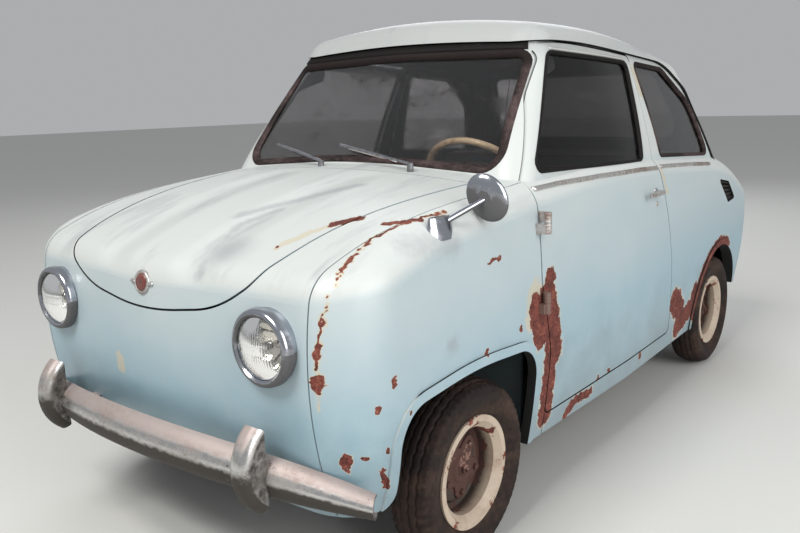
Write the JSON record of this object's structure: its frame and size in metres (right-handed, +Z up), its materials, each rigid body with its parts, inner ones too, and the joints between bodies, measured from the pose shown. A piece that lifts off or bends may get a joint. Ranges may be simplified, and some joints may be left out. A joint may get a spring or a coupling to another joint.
{
  "type": "microcar",
  "caption": "Small rear-engined two-door saloon with hinged doors, luggage lid and engine lid, steered front wheels and free-rolling wheels.",
  "frame": {"origin": "on the ground, below the middle of the car's overall box", "axes": "+Z up, -Y towards the front bumper, +X towards the car's left side"},
  "size_m": [1.3016, 2.9, 1.35],
  "materials": {
    "body_paint": "weathered pale blue paint",
    "inner_paint": "dusty pale blue inner paint",
    "chassis": "dirty black underside paint",
    "chrome": "dulled chrome with brown pitting",
    "tyre": "dusty worn rubber",
    "wheel_paint": "cream paint with rust",
    "glass": "dusty glass",
    "lamp_glass": "fluted clear glass",
    "red_lens": "red lens",
    "cloth": "worn brown cloth",
    "wheel_plastic": "aged cream plastic",
    "iron": "greasy cast metal",
    "seal": "perished black rubber"
  },
  "bodies": {
    "body": {"fender_left": "body_paint", "fender_right": "body_paint", "nose_panel": "body_paint", "scuttle_and_pillars": "body_paint", "roof_panel": "body_paint", "quarter_left": "body_paint", "quarter_right": "body_paint", "tail_panel": "body_paint", "fixed_glass": "glass", "hinge_posts": "chrome", "floor_pan": "chassis", "bulkheads": "inner_paint", "parcel_shelf": "cloth", "dashboard": "inner_paint", "steering_column": "chassis", "front_seats": "cloth", "rear_bench": "cloth", "headlamp_rims": "chrome", "headlamp_lenses": "lamp_glass", "front_bumper": "chrome", "rear_bumper": "chrome", "tail_lamps": "red_lens", "fender_mirror": "chrome", "wipers": "chrome", "engine_block": "iron", "front_axle": "chassis", "rear_axle": "chassis", "exhaust": "iron", "lid_seals": "seal", "side_intakes": "chassis"},
    "hood_lid": {"hood_lid": "body_paint"},
    "engine_lid": {"engine_lid": "body_paint"},
    "door_left": {"door_left": "body_paint", "door_glass_left": "glass", "door_fittings_left": "chrome"},
    "door_right": {"door_right": "body_paint", "door_glass_right": "glass", "door_fittings_right": "chrome"},
    "knuckle_left": {"knuckle_left": "iron"},
    "knuckle_right": {"knuckle_right": "iron"},
    "steering_wheel": {"steering_wheel": "wheel_plastic"},
    "wheel_front_left": {"rim_front_left": "wheel_paint", "tyre_front_left": "tyre"},
    "wheel_front_right": {"rim_front_right": "wheel_paint", "tyre_front_right": "tyre"},
    "wheel_rear_left": {"rim_rear_left": "wheel_paint", "tyre_rear_left": "tyre"},
    "wheel_rear_right": {"rim_rear_right": "wheel_paint", "tyre_rear_right": "tyre"}
  },
  "joints": [
    {"name": "steer_left", "type": "hinge", "parent": "body", "child": "knuckle_left", "pos_m": [0.458, -0.89, 0.226], "axis": [0, 0, 1], "range_deg": [-30, 30]},
    {"name": "steer_right", "type": "hinge", "parent": "body", "child": "knuckle_right", "pos_m": [-0.458, -0.89, 0.226], "axis": [0, 0, 1], "range_deg": [-30, 30]},
    {"name": "steering_wheel_turn", "type": "hinge", "parent": "body", "child": "steering_wheel", "pos_m": [0.265, -0.335, 0.848], "axis": [0, 0.788, 0.6157], "range_deg": [-420, 420]},
    {"name": "wheel_front_left_spin", "type": "hinge", "parent": "knuckle_left", "child": "wheel_front_left", "pos_m": [0.545, -0.89, 0.226], "axis": [1, 0, 0], "continuous": true},
    {"name": "wheel_front_right_spin", "type": "hinge", "parent": "knuckle_right", "child": "wheel_front_right", "pos_m": [-0.545, -0.89, 0.226], "axis": [1, 0, 0], "continuous": true},
    {"name": "wheel_rear_left_spin", "type": "hinge", "parent": "body", "child": "wheel_rear_left", "pos_m": [0.545, 0.91, 0.226], "axis": [1, 0, 0], "continuous": true},
    {"name": "wheel_rear_right_spin", "type": "hinge", "parent": "body", "child": "wheel_rear_right", "pos_m": [-0.545, 0.91, 0.226], "axis": [1, 0, 0], "continuous": true},
    {"name": "door_left_swing", "type": "hinge", "parent": "body", "child": "door_left", "pos_m": [0.63, -0.607, 0.7], "axis": [0, 0, -1], "range_deg": [0, 62]},
    {"name": "door_right_swing", "type": "hinge", "parent": "body", "child": "door_right", "pos_m": [-0.63, -0.607, 0.7], "axis": [0, 0, 1], "range_deg": [0, 62]},
    {"name": "luggage_lid_tilt", "type": "hinge", "parent": "body", "child": "hood_lid", "pos_m": [0, -0.702, 0.926], "axis": [-1, 0, 0], "range_deg": [0, 55]},
    {"name": "engine_lid_tilt", "type": "hinge", "parent": "body", "child": "engine_lid", "pos_m": [0, 1.215, 0.806], "axis": [1, 0, 0], "range_deg": [0, 60]}
  ],
  "couplings": [
    {"joint": "steer_right", "follows": "steer_left", "ratio": 1},
    {"joint": "steering_wheel_turn", "follows": "steer_left", "ratio": 14}
  ]
}
